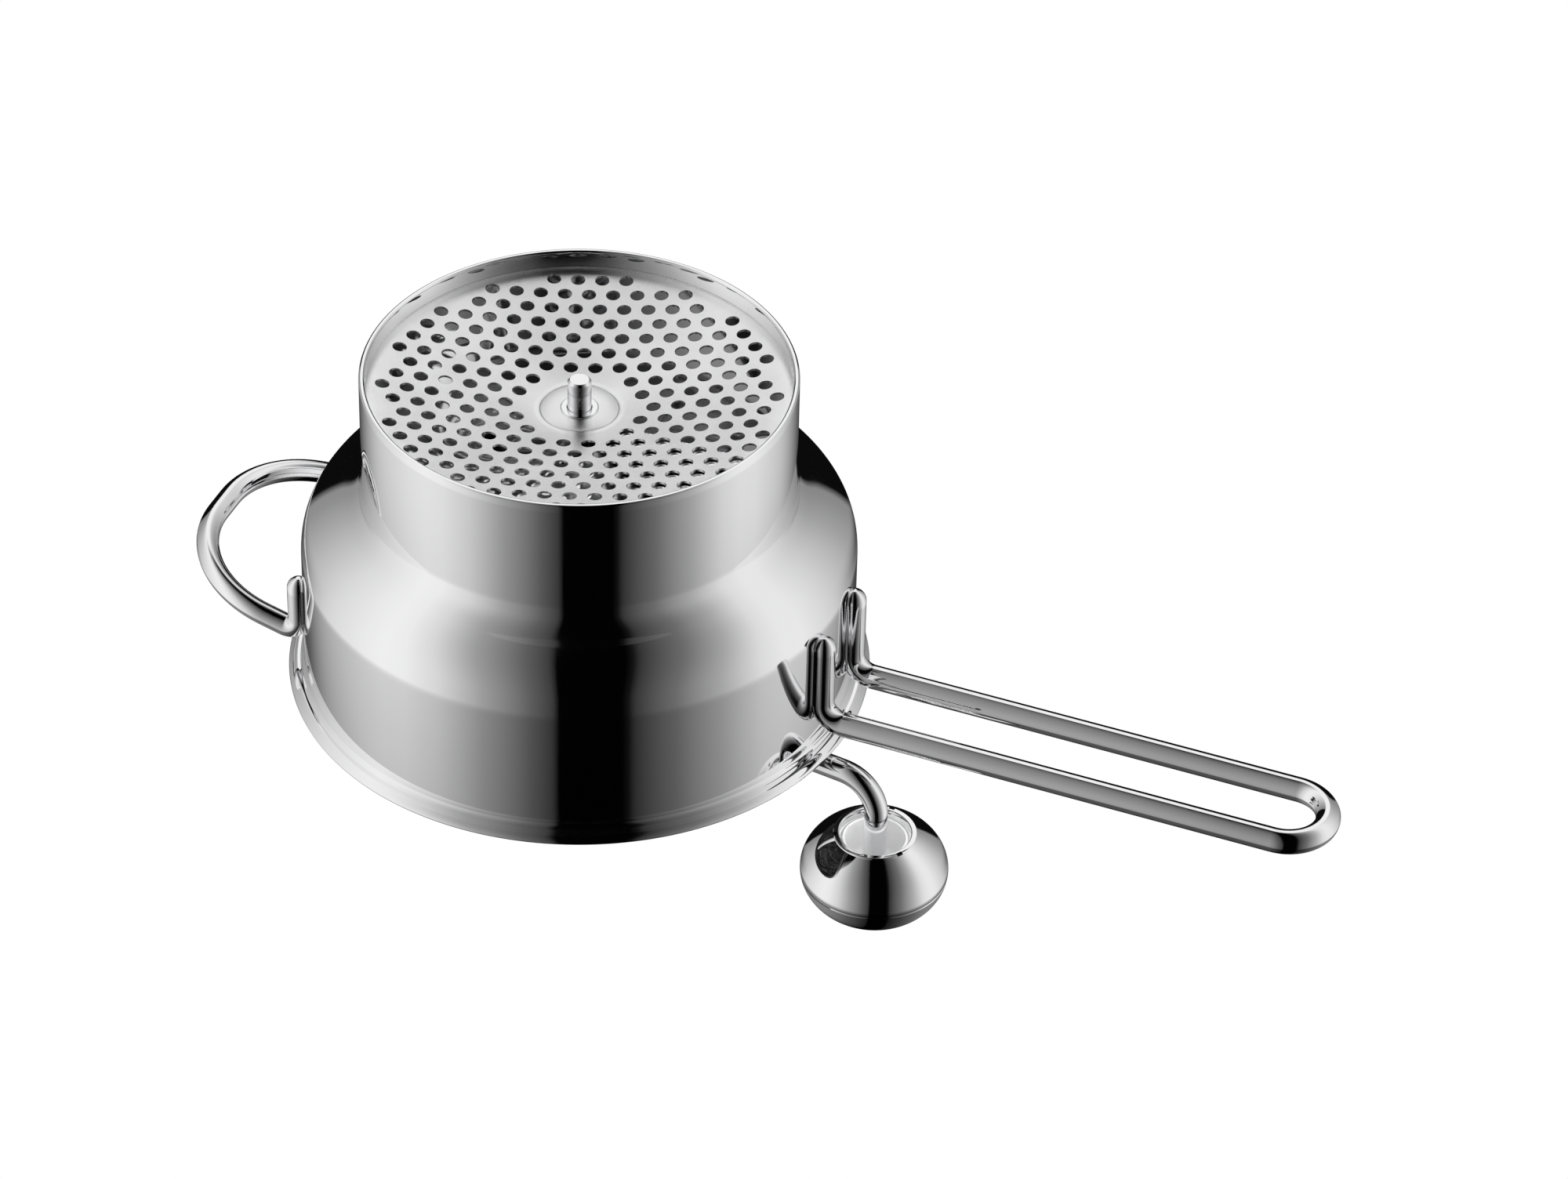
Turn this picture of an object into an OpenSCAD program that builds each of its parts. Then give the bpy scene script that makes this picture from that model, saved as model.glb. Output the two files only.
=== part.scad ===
// Rotary food mill: a stepped steel bowl with a domed sieve disc in its neck and a hand
// crank that turns a spring-loaded press blade over the disc.
// Millimetres, +Z up, standing on the lip of the neck. The origin is the centre of that lip,
// and the long handle points along +X.

/* [Bowl] */
// Outside diameter of the rolled rim at the mouth
mouth_d = 200; // [198:0.5:206]
// Outside diameter of the wide upper body
body_d = 188.9; // [186:0.1:192]
// Outside diameter of the neck
neck_d = 146.8; // [142:0.1:150]
// Height of the straight neck above its lip
neck_h = 43.4; // [38:0.1:48]
// Radius of the hollow curve where the neck meets the shoulder
shoulder_hollow_r = 8; // [6:0.5:10]
// Radius of the round curve where the shoulder meets the body
shoulder_round_r = 20; // [17:0.5:24]
// Height at which the rim starts to flare
flare_z = 114; // [112:0.5:118]
// Sheet thickness of the bowl
wall = 0.8; // [0.6:0.1:1.2]
// Height of the folded hem inside the neck, on which the disc rests
hem_h = 6.2; // [5:0.1:8]

/* [Sieve disc] */
// Diameter of one sieve hole
hole_d = 4.9; // [2:0.1:5.5]
// Distance between neighbouring hole centres
hole_pitch = 8.23; // [7:0.01:9]
// Rise of the disc from its border to its flat centre
dome_rise = 7.8; // [6:0.1:9]
// Thickness of the disc
disc_t = 0.8; // [0.6:0.1:1]
// Angle of the hole rows about the axis
hole_row_angle = -20.1; // [-30:0.1:30]

/* [Handles] */
// Wire diameter of the long handle
handle_wire_d = 8.4; // [7.5:0.1:9]
// Reach of the long handle from the axis
handle_reach = 273; // [240:1:300]
// Distance between the two rods of the long handle
handle_rod_gap = 28; // [24:0.5:32]
// Height of the long handle's rods
handle_z = 107; // [105:0.5:108]
// Length of the long handle's feet
handle_foot_l = 35; // [30:0.5:38]
// Wire diameter of the helper handle
helper_wire_d = 7.8; // [7:0.1:8.4]
// Reach of the helper handle from the axis
helper_reach = 137.5; // [130:0.5:145]
// Distance between the two legs of the helper handle
helper_leg_gap = 80; // [74:1:84]
// Downward tilt of the helper handle
helper_tilt = 14.7; // [10:0.1:18]
// Height of the helper handle's elbows
helper_z = 106; // [103:0.5:107]

/* [Crank] */
// Rod diameter of the crank
rod_d = 8; // [7.6:0.1:8.4]
// Distance from the axis to the knob's axis
crank_r = 117.6; // [112:0.1:124]
// Height of the crank arm
arm_z = 126.5; // [126:0.1:130]
// Centreline radius of the crank's bends
rod_bend_r = 13; // [11:0.5:15]
// Angle of the crank arm about the axis
crank_angle = 8; // [0:1:20]

/* [Knob] */
// Largest diameter of the knob
knob_d = 50.8; // [46:0.2:54]
// Full height of the knob, if it were not cut by its recess
knob_h = 36.8; // [34:0.2:40]
// Height of the knob's widest point
knob_z = 163.5; // [162:0.5:166]

/* [Press blade] */
// Radius of the press blade
blade_r = 70.2; // [66:0.2:70.5]
// Thickness of the press blade
blade_t = 1.2; // [1:0.1:1.6]
// Height of the blade's raised leading edge over the disc
blade_lift = 22; // [16:1:22]

/* [Hidden] */
$fn = 96;
STEEL = [0.80, 0.81, 0.82];
SATIN = [0.72, 0.73, 0.74];
DARK_STEEL = [0.55, 0.56, 0.58];
WHITE = [0.95, 0.95, 0.94];
run_gap = 0.08;       // radial gap of a shaft that turns in a bore
body_gap = 0.4;       // gap between pieces that move apart

// Bowl
mouth_r = mouth_d / 2;
body_r = body_d / 2;
neck_r = neck_d / 2;
bead_r = 1.3;
bead_z = flare_z + 6.2;
flare_r = 6;
flare_turn = 70;
fold_r = 0.7;
hem_t = 2;
hem_in_r = neck_r - hem_t;
body_in_r = body_r - wall;
shoulder_turn = acos(1 - (body_r - neck_r) / (shoulder_hollow_r + shoulder_round_r));
shoulder_top = neck_h + (shoulder_hollow_r + shoulder_round_r) * sin(shoulder_turn);

// Sieve disc
disc_r = neck_r - wall - 0.3;
disc_border = 2.8;
cone_r = disc_r - disc_border;
flat_r = 14.5;
disc_slope = dome_rise / (cone_r - flat_r);
disc_flat_z = hem_h + dome_rise;
holes_in_r = 21;
holes_out_r = 66;
row_step = hole_pitch * sqrt(3) / 2;
lattice_n = ceil(holes_out_r / row_step) + 1;
bush_r = 6.4;
bush_z = [disc_flat_z - 0.6, disc_flat_z + disc_t + 1];

// Crank, blade and spring
rod_r = rod_d / 2;
shaft_tip_z = 2.3;
tip_chamfer = 0.8;
rod_end_z = knob_z + 13;
hub_r = 8;
hub_z = [bush_z[1] + 0.6, 39.2];
pin_r = 1.5;
hub_pin_z = 30;
blade_steps = 30;
blade_rings = 4;
blade_in_r = hub_r - 0.4;
blade_sweep = 205;
blade_land = 24;
blade_clear = 0.5;
blade_angle = 10;
seat_t = 1.5;
seat_r = 10.5;
lower_seat_z = hub_z[1] + body_gap;
spring_z = [lower_seat_z + seat_t, 85.5];
spring_wire_r = 0.9;
spring_r = 8.9;
spring_turns = 6.5;
spring_sides = 8;
spring_steps = 22;

// Crossbar and its bushing
bar_w = 22;
bar_t = 2;
bar_z = 92;
bar_r = body_in_r - 1.85;
bar_lip_l = 150;
bar_lip_h = 4;
bushing_r = 6.5;
bushing_flange_r = 11;
bushing_flange_t = 2.5;
bushing_low_z = 82.5;
ring_t = 2;
collar_r = 7.5;
collar_h = 7.6;
collar_z = bar_z + bar_t + bushing_flange_t + body_gap;
screw_r = 2;
lug_half = 10.5;
lug_stop_at = 7.8;
lug_lip = 7.6;
lug_t = 1.4;
lug_z = [87.5, bar_z + bar_t + 2];

// Knob
knob_r = knob_d / 2;
seam_z = knob_z + 1.5;
knob_wall = 1;
ring_r = [11.4, 14.4];
insert_r = 11.4;
knob_ring_z = knob_face(ring_r[1]);
notch_w = 2.2;
insert_z = knob_ring_z + 1.8;
cup_wall = 1;
cup_depth = 13;

// Helper handle
helper_r = helper_wire_d / 2;
foot_sink = 1.4;
helper_foot_r = body_r + foot_sink;
helper_foot_x = sqrt(pow(helper_foot_r, 2) - pow(helper_leg_gap / 2, 2));
helper_elbow_r = helper_r + 0.7;
helper_corner_r = 32;
helper_foot_l = 18;
helper_l = (helper_reach - helper_r - helper_foot_x) / cos(helper_tilt);

// Points on an arc about [cx, cy], from angle a0 to a1
function arc(cx, cy, r, a0, a1, n = 8) =
    [for (i = [0:n]) let (a = a0 + (a1 - a0) * i / n) [cx + r * cos(a), cy + r * sin(a)]];

function reversed(list) = [for (i = [len(list) - 1:-1:0]) list[i]];

// One side of the bowl wall, from the neck to the rim; inset 0 is the outside
function bowl_side(inset) = concat(
    [[neck_r - inset, fold_r], [neck_r - inset, neck_h]],
    arc(neck_r + shoulder_hollow_r, neck_h, shoulder_hollow_r + inset, 180, 180 - shoulder_turn),
    arc(body_r - shoulder_round_r, shoulder_top, shoulder_round_r - inset, -shoulder_turn, 0, 12),
    arc(body_r + flare_r, flare_z, flare_r + inset, 180, 180 - flare_turn));

// Height of the disc's underside at radius r
function disc_under(r) =
    r < flat_r ? disc_flat_z : r > cone_r ? hem_h : hem_h + (cone_r - r) * disc_slope;

// Height of the knob's lower surface at radius r
function knob_face(r) = knob_z - knob_h / 2 * sqrt(1 - pow(r / knob_r, 2));

// Height of the blade over the disc at angle a round its sweep
function blade_rise(a) = let (t = max(0, (a - blade_land) / (blade_sweep - blade_land)))
    blade_lift * t * t * (2 - t);

module rod(d, l) cylinder(d = d, h = l);

// A bend of a round bar about the Z axis, from the +X side through angle a
module bend(r, d, a) rotate_extrude(angle = a) translate([r, 0]) circle(d = d);

module ring(r_out, r_in, z0, z1) difference() {
    translate([0, 0, z0]) cylinder(r = r_out, h = z1 - z0);
    translate([0, 0, z0 - 1]) cylinder(r = r_in, h = z1 - z0 + 2);
}

module bowl_shell() color(STEEL) rotate_extrude() {
    polygon(concat(bowl_side(0), reversed(bowl_side(wall))));
    translate([mouth_r - bead_r, bead_z]) circle(r = bead_r);
    polygon(concat(arc(hem_in_r + fold_r, fold_r, fold_r, 180, 270, 5),
                   arc(neck_r - fold_r, fold_r, fold_r, 270, 360, 5),
                   [[neck_r, hem_h], [hem_in_r, hem_h]]));
}

module sieve_holes() for (i = [-lattice_n:lattice_n], j = [-lattice_n:lattice_n])
    let (x = (i + j / 2) * hole_pitch, y = j * row_step, r = norm([x, y]))
        if (r > holes_in_r && r < holes_out_r)
            translate([x, y, 0]) cylinder(d = hole_d, h = disc_flat_z + 5);

module sieve_disc() color(SATIN) difference() {
    rotate_extrude() polygon([
        [bush_r - 1, disc_flat_z], [flat_r, disc_flat_z], [cone_r, hem_h], [disc_r, hem_h],
        [disc_r, hem_h + disc_t], [cone_r, hem_h + disc_t],
        [flat_r, disc_flat_z + disc_t], [bush_r - 1, disc_flat_z + disc_t]]);
    rotate(hole_row_angle) sieve_holes();
}

module disc_bush() color(STEEL) difference() {
    rotate_extrude() polygon([
        [rod_r + run_gap, bush_z[0]], [bush_r - 0.3, bush_z[0]], [bush_r, bush_z[0] + 0.3],
        [bush_r, disc_flat_z], [bush_r - 1, disc_flat_z],
        [bush_r - 1, disc_flat_z + disc_t], [bush_r, disc_flat_z + disc_t],
        [bush_r, bush_z[1] - 0.3], [bush_r - 0.3, bush_z[1]], [rod_r + run_gap, bush_z[1]]]);
}

// One half of the long handle: foot, elbow, rod and half of the round end
module handle_half() {
    half = handle_rod_gap / 2;
    elbow_r = 8;
    foot_x = sqrt(pow(body_r + foot_sink, 2) - half * half);
    foot_z = handle_z - handle_foot_l + handle_wire_d / 2;
    end_x = handle_reach - handle_wire_d / 2 - half;
    translate([foot_x, half, foot_z]) {
        rod(handle_wire_d, handle_foot_l - handle_wire_d / 2 - elbow_r);
        sphere(d = handle_wire_d);
    }
    translate([foot_x + elbow_r, half, handle_z - elbow_r]) rotate([90, 0, 0]) rotate(90)
        bend(elbow_r, handle_wire_d, 90);
    translate([foot_x + elbow_r, half, handle_z]) rotate([0, 90, 0])
        rod(handle_wire_d, end_x - foot_x - elbow_r);
    translate([end_x, 0, handle_z]) bend(half, handle_wire_d, 90);
}

module long_handle() color(STEEL) difference() {
    union() {
        handle_half();
        mirror([0, 1, 0]) handle_half();
    }
    cylinder(r = body_r, h = 2 * handle_z);
}

// Carries a shape from the elbow's frame into the tilted plane of the helper loop
module tilted()
    translate([-helper_foot_x - helper_elbow_r, helper_leg_gap / 2, helper_z - helper_elbow_r])
        rotate([0, -helper_tilt, 0]) translate([0, 0, helper_elbow_r]) children();

// One foot of the helper handle with its tight elbow, which stops just short of the leg
module helper_foot() {
    translate([-helper_foot_x, helper_leg_gap / 2, helper_z - helper_foot_l]) {
        rod(helper_wire_d, helper_foot_l - helper_elbow_r);
        sphere(d = helper_wire_d);
    }
    translate([-helper_foot_x - helper_elbow_r, helper_leg_gap / 2, helper_z - helper_elbow_r])
        rotate([90, 0, 0]) bend(helper_elbow_r, helper_wire_d, 87 + helper_tilt);
}

// One half of the helper handle: foot, the seam of the elbow, leg, corner and half of the grip
module helper_half() {
    half = helper_leg_gap / 2;
    leg_l = helper_l - helper_corner_r - helper_elbow_r;
    helper_foot();
    tilted() {
        rotate([0, 90, 0]) cylinder(r = helper_r + 0.12, h = 1.2, center = true);
        translate([-0.2, 0, 0]) rotate([0, -90, 0]) rod(helper_wire_d, leg_l - 0.2);
        translate([-leg_l, -helper_corner_r, 0]) rotate(90)
            bend(helper_corner_r, helper_wire_d, 90);
        translate([-leg_l - helper_corner_r, -half, 0]) rotate([-90, 0, 0])
            rod(helper_wire_d, half - helper_corner_r);
    }
}

module helper_handle() color(STEEL) difference() {
    union() {
        helper_half();
        mirror([0, 1, 0]) helper_half();
    }
    cylinder(r = body_r, h = 2 * handle_z);
}

// One bracket on the bowl's inner wall: a back plate with a hooked lip, and an end stop
module lug() {
    rotate(-lug_half) rotate_extrude(angle = 2 * lug_half) polygon([
        [body_in_r, lug_z[0]], [body_in_r, lug_z[1]], [body_in_r - lug_lip, lug_z[1]],
        [body_in_r - lug_lip, lug_z[1] - lug_t], [body_in_r - lug_t, lug_z[1] - lug_t],
        [body_in_r - lug_t, lug_z[0]]]);
    rotate(lug_stop_at) rotate_extrude(angle = lug_half + 0.6 - lug_stop_at) polygon([
        [body_in_r - lug_t / 2, lug_z[0] + 0.5], [body_in_r - lug_t / 2, lug_z[1] - lug_t / 2],
        [body_in_r - lug_lip + 0.5, lug_z[1] - lug_t / 2],
        [body_in_r - lug_lip + 0.5, lug_z[0] + 0.5]]);
}

module bar_lugs() color(SATIN) for (a = [90, 270]) rotate(a) lug();

module crossbar() color(SATIN) difference() {
    intersection() {
        union() {
            translate([-bar_w / 2, -bar_r, bar_z]) cube([bar_w, 2 * bar_r, bar_t]);
            for (s = [-1, 1])
                translate([s * (bar_w - bar_t) / 2 - bar_t / 2, -bar_lip_l / 2, bar_z - bar_lip_h])
                    cube([bar_t, bar_lip_l, bar_lip_h]);
        }
        translate([0, 0, bar_z - bar_lip_h - 1]) cylinder(r = bar_r, h = bar_lip_h + bar_t + 2);
    }
    translate([0, 0, bar_z - 1]) cylinder(r = bushing_r, h = bar_t + 2);
}

module bar_bushing() color(STEEL) difference() {
    union() {
        translate([0, 0, bushing_low_z]) cylinder(r = bushing_r, h = bar_z + bar_t - bushing_low_z);
        translate([0, 0, bar_z + bar_t]) cylinder(r = bushing_flange_r, h = bushing_flange_t);
    }
    translate([0, 0, bushing_low_z - 1]) cylinder(r = rod_r + run_gap, h = 30);
}

module bushing_ring() color(DARK_STEEL) ring(bushing_r + 2.2, bushing_r, bar_z - ring_t, bar_z);

module upper_spring_seat() color(STEEL) ring(seat_r, bushing_r, spring_z[1], spring_z[1] + seat_t);

module thrust_washer() color(STEEL)
    ring(seat_r, rod_r + body_gap, lower_seat_z, lower_seat_z + seat_t);

// Centre of the spring wire at step i
function spring_at(i) = let (t = i / (spring_turns * spring_steps), a = 360 * spring_turns * t)
    [spring_r * cos(a), spring_r * sin(a),
     spring_z[0] + spring_wire_r + t * (spring_z[1] - spring_z[0] - 2 * spring_wire_r)];

module pressure_spring() color(DARK_STEEL) {
    n = round(spring_turns * spring_steps);
    points = [for (i = [0:n], k = [0:spring_sides - 1])
        let (c = spring_at(i), a = atan2(c[1], c[0]), b = 360 * k / spring_sides,
             q = spring_wire_r * 0.98)
            [c[0] + q * cos(b) * cos(a), c[1] + q * cos(b) * sin(a), c[2] + q * sin(b)]];
    sides = [for (i = [0:n - 1], k = [0:spring_sides - 1]) let (k2 = (k + 1) % spring_sides)
        [i * spring_sides + k, (i + 1) * spring_sides + k,
         (i + 1) * spring_sides + k2, i * spring_sides + k2]];
    polyhedron(points, concat(sides,
        [[for (k = [0:spring_sides - 1]) k]],
        [[for (k = [spring_sides - 1:-1:0]) n * spring_sides + k]]));
}

module crank_rod() color(STEEL) rotate(crank_angle) difference() {
    union() {
        translate([0, 0, shaft_tip_z]) cylinder(r1 = rod_r - tip_chamfer, r2 = rod_r, h = tip_chamfer);
        translate([0, 0, shaft_tip_z + tip_chamfer])
            rod(rod_d, arm_z - rod_bend_r - shaft_tip_z - tip_chamfer);
        translate([rod_bend_r, 0, arm_z - rod_bend_r]) rotate([90, 0, 0]) rotate(90)
            bend(rod_bend_r, rod_d, 90);
        translate([rod_bend_r, 0, arm_z]) rotate([0, 90, 0]) rod(rod_d, crank_r - 2 * rod_bend_r);
        translate([crank_r - rod_bend_r, 0, arm_z + rod_bend_r]) rotate([90, 0, 0]) rotate(-90)
            bend(rod_bend_r, rod_d, 90);
        translate([crank_r, 0, arm_z + rod_bend_r]) rod(rod_d, rod_end_z - arm_z - rod_bend_r);
    }
    translate([0, 0, hub_pin_z]) rotate([90, 0, 0])
        cylinder(r = pin_r, h = 4 * rod_r, center = true);
}

module travel_collar() color(STEEL) rotate(crank_angle) difference() {
    ring(collar_r, rod_r, collar_z, collar_z + collar_h);
    translate([0, 0, collar_z + collar_h / 2]) rotate([90, 0, 0])
        cylinder(r = screw_r, h = 2 * collar_r);
}

module collar_screw() color(DARK_STEEL) rotate(crank_angle) difference() {
    translate([0, -rod_r, collar_z + collar_h / 2]) rotate([90, 0, 0])
        cylinder(r = screw_r, h = collar_r - rod_r - 0.3);
    cylinder(r = rod_r, h = arm_z);
    translate([0, -collar_r + 2, collar_z + collar_h / 2]) rotate([90, 30, 0])
        cylinder(r = 1.15, h = 4, $fn = 6);
}

module blade_hub() color(STEEL) rotate(crank_angle) difference() {
    ring(hub_r, rod_r, hub_z[0], hub_z[1]);
    translate([0, 0, hub_pin_z]) rotate([90, 0, 0]) cylinder(r = pin_r, h = 4 * hub_r, center = true);
}

module hub_pin() color(DARK_STEEL) rotate(crank_angle) translate([0, 0, hub_pin_z]) rotate([90, 0, 0])
    cylinder(r = pin_r, h = 2 * hub_r - 1, center = true);

// Index of a blade point in the list of its underside, then its top
function blade_id(i, j, top) =
    (blade_rings + 1) * (i + (top ? blade_steps + 1 : 0)) + j;

// Radius of ring j of the blade; the first ring is on the hub, the second where the disc slopes
function blade_ring_r(j) =
    j == 0 ? blade_in_r : flat_r + (blade_r - flat_r) * (j - 1) / (blade_rings - 1);

// A point of the blade: step i round its sweep, ring j from the hub, top or underside
function blade_at(i, j, top) =
    let (a = blade_sweep * i / blade_steps, r = blade_ring_r(j))
    [r * cos(blade_angle + a), r * sin(blade_angle + a),
     disc_under(max(r, flat_r)) + disc_t + blade_clear + blade_rise(a) + (top ? blade_t : 0)];

module press_blade() color(STEEL) {
    n = blade_rings + 1;
    points = [for (top = [false, true], i = [0:blade_steps], j = [0:blade_rings]) blade_at(i, j, top)];
    under = [for (i = [0:blade_steps - 1], j = [0:blade_rings - 1])
        each [[blade_id(i, j, false), blade_id(i + 1, j, false), blade_id(i + 1, j + 1, false)],
              [blade_id(i, j, false), blade_id(i + 1, j + 1, false), blade_id(i, j + 1, false)]]];
    over = [for (i = [0:blade_steps - 1], j = [0:blade_rings - 1])
        each [[blade_id(i, j, true), blade_id(i + 1, j + 1, true), blade_id(i + 1, j, true)],
              [blade_id(i, j, true), blade_id(i, j + 1, true), blade_id(i + 1, j + 1, true)]]];
    rims = [for (i = [0:blade_steps - 1])
        each [[blade_id(i, 0, false), blade_id(i, 0, true),
               blade_id(i + 1, 0, true), blade_id(i + 1, 0, false)],
              [blade_id(i, n - 1, false), blade_id(i + 1, n - 1, false),
               blade_id(i + 1, n - 1, true), blade_id(i, n - 1, true)]]];
    ends = [for (j = [0:blade_rings - 1])
        each [[blade_id(0, j, false), blade_id(0, j + 1, false),
               blade_id(0, j + 1, true), blade_id(0, j, true)],
              [blade_id(blade_steps, j, false), blade_id(blade_steps, j, true),
               blade_id(blade_steps, j + 1, true), blade_id(blade_steps, j + 1, false)]]];
    polyhedron(points, concat(under, over, rims, ends), convexity = 4);
}

module at_knob() rotate(crank_angle) translate([crank_r, 0, 0]) children();

// Half outline of the knob as a ring section between heights z0 and z1
module knob_section(z0, z1) intersection() {
    difference() {
        knob_outline(knob_r, knob_h / 2);
        knob_outline(knob_r - knob_wall, knob_h / 2 - knob_wall);
    }
    translate([0, z0]) square([knob_r + 1, z1 - z0]);
}

module knob_outline(a, b) polygon(concat([[0, knob_z - b]],
    [for (t = [-84:6:84]) [a * cos(t), knob_z + b * sin(t)]], [[0, knob_z + b]]));

module knob_lower_shell() color(STEEL) at_knob() difference() {
    rotate_extrude() knob_section(knob_z - knob_h, seam_z);
    cylinder(r = ring_r[1], h = knob_z);
}

module knob_upper_shell() color(STEEL) at_knob() rotate_extrude() knob_section(seam_z, knob_z + knob_h);

module knob_ring() color(STEEL) at_knob() difference() {
    rotate_extrude() polygon([
        [ring_r[0], knob_ring_z + 1.6], [ring_r[0] + 1.3, knob_ring_z - 0.6],
        [ring_r[1] - 0.4, knob_ring_z - 0.6],
        [ring_r[1], knob_ring_z], [ring_r[1], knob_ring_z + 5], [ring_r[0], knob_ring_z + 5]]);
    for (a = [0:120:240]) rotate(a + 25)
        translate([ring_r[1] - 1.2, -notch_w / 2, knob_ring_z - 2]) cube([3, notch_w, 3.4]);
}

module knob_insert() color(WHITE) at_knob() difference() {
    translate([0, 0, insert_z]) cylinder(r = insert_r, h = rod_end_z - 3.5 - insert_z);
    translate([0, 0, insert_z - 1]) cylinder(r = insert_r - cup_wall, h = cup_depth + 1);
    cylinder(r = rod_r + run_gap, h = 2 * knob_z);
}

module knob_retainer() color(DARK_STEEL) at_knob()
    ring(rod_r + 4, rod_r, rod_end_z - 3, rod_end_z - 1.8);

bowl_shell();
sieve_disc();
disc_bush();
long_handle();
helper_handle();
bar_lugs();
crossbar();
bar_bushing();
bushing_ring();
upper_spring_seat();
pressure_spring();
thrust_washer();
crank_rod();
travel_collar();
collar_screw();
blade_hub();
hub_pin();
press_blade();
knob_retainer();
knob_lower_shell();
knob_upper_shell();
knob_ring();
knob_insert();
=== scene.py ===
"""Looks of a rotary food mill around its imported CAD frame.

The mill stands mouth up on the lip of its neck, with the long handle along +X. All sizes are in
metres, in the frame's own axes.
"""

import logging
import math
from dataclasses import dataclass, field
from enum import Enum
from typing import Iterable

import bmesh
import bpy
from mathutils import Matrix, Vector


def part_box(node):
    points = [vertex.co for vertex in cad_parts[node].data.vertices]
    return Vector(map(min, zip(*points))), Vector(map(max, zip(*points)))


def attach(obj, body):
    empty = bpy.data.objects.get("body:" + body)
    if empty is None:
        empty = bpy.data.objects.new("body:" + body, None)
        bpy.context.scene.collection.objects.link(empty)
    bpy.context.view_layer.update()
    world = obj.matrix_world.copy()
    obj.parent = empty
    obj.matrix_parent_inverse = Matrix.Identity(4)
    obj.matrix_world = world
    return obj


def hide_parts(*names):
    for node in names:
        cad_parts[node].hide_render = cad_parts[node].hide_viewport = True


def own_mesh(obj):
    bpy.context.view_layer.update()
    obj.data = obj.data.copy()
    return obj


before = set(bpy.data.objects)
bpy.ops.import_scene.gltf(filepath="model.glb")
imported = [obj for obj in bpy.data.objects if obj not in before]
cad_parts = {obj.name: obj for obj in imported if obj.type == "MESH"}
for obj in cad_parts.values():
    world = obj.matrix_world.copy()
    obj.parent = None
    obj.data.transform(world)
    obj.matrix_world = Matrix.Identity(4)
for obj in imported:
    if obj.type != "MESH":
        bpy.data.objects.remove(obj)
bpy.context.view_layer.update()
MM = 0.001
FINE_STEPS = 192
TURNED_STEPS = 128
MERGE = 0.002 * MM
LOG = logging.getLogger("food_mill")

UP = Vector((0, 0, 1))
Point = tuple[float, float]
Triple = tuple[float, float, float]
Socket = bpy.types.NodeSocket
Node = bpy.types.Node
BMesh = bmesh.types.BMesh


class Body(Enum):
    """The frame's rigid bodies."""

    BOWL = "bowl"
    BAR = "bar"
    LIFTER = "lifter"
    CRANK = "crank"
    KNOB = "knob"


def srgb(level: float) -> float:
    """Returns the linear value of a display level from 0 to 255."""
    share = level / 255
    return share / 12.92 if share <= 0.04045 else ((share + 0.055) / 1.055) ** 2.4


def arc(cx: float, cy: float, radius: float, start: float, end: float, steps: int) -> list[Point]:
    """Points on an arc of an outline.

    Args:
        cx, cy: the arc's centre.
        radius: its radius.
        start, end: its first and last angle in degrees.
        steps: how many chords it has.

    Returns:
        steps + 1 points in order.
    """
    turns = [math.radians(start + (end - start) * i / steps) for i in range(steps + 1)]
    return [(cx + radius * math.cos(a), cy + radius * math.sin(a)) for a in turns]


# ---- node helpers


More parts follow.
